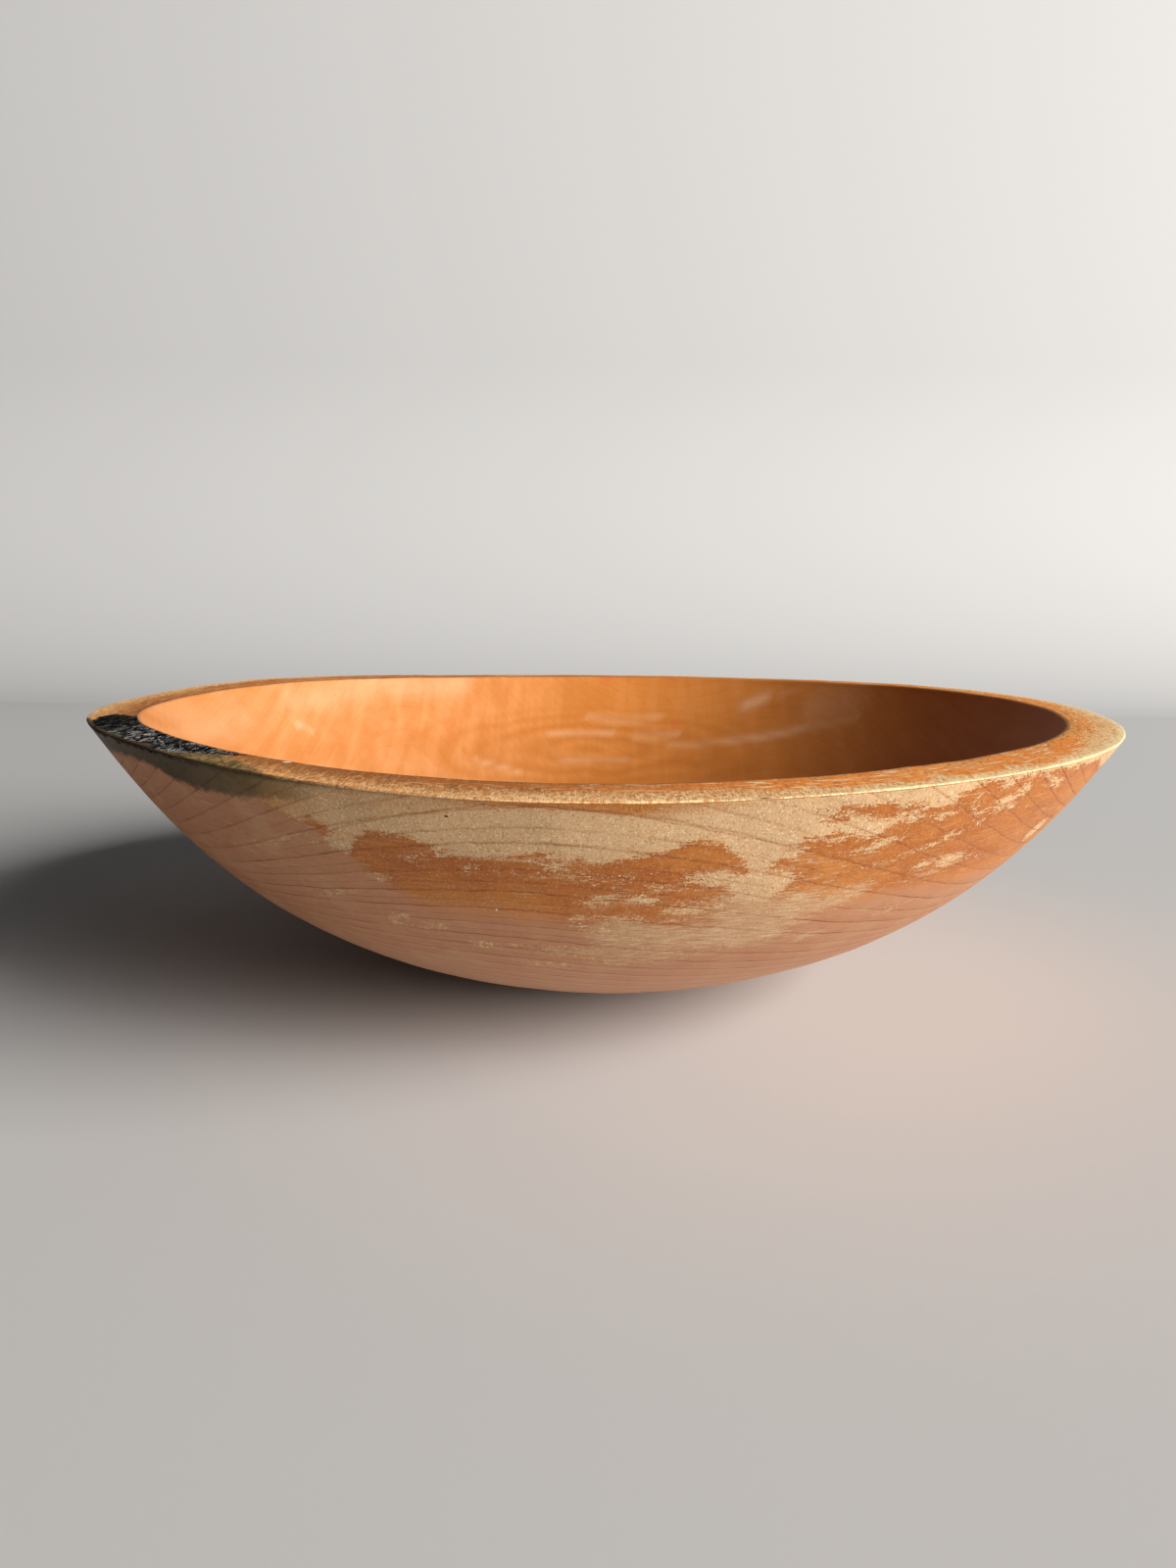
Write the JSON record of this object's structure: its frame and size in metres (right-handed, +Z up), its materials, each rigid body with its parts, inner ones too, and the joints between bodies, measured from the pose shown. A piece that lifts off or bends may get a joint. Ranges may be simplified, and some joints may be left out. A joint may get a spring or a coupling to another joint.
{
  "type": "dough bowl",
  "caption": "Wide lathe-turned wooden dough bowl with a flat thick rim, a crisp outer edge, a round hollow and a small flat foot.",
  "frame": {"origin": "middle of the flat foot, on the surface that the bowl rests on", "axes": "+Z up along the axis it was turned about; -Y is the side the picture was taken from, with the end grain; +X to the right there"},
  "size_m": [0.3599, 0.36, 0.095],
  "materials": {
    "maple": "worn satin varnish over bare maple"
  },
  "bodies": {
    "root": {"bowl": "maple"}
  },
  "joints": []
}
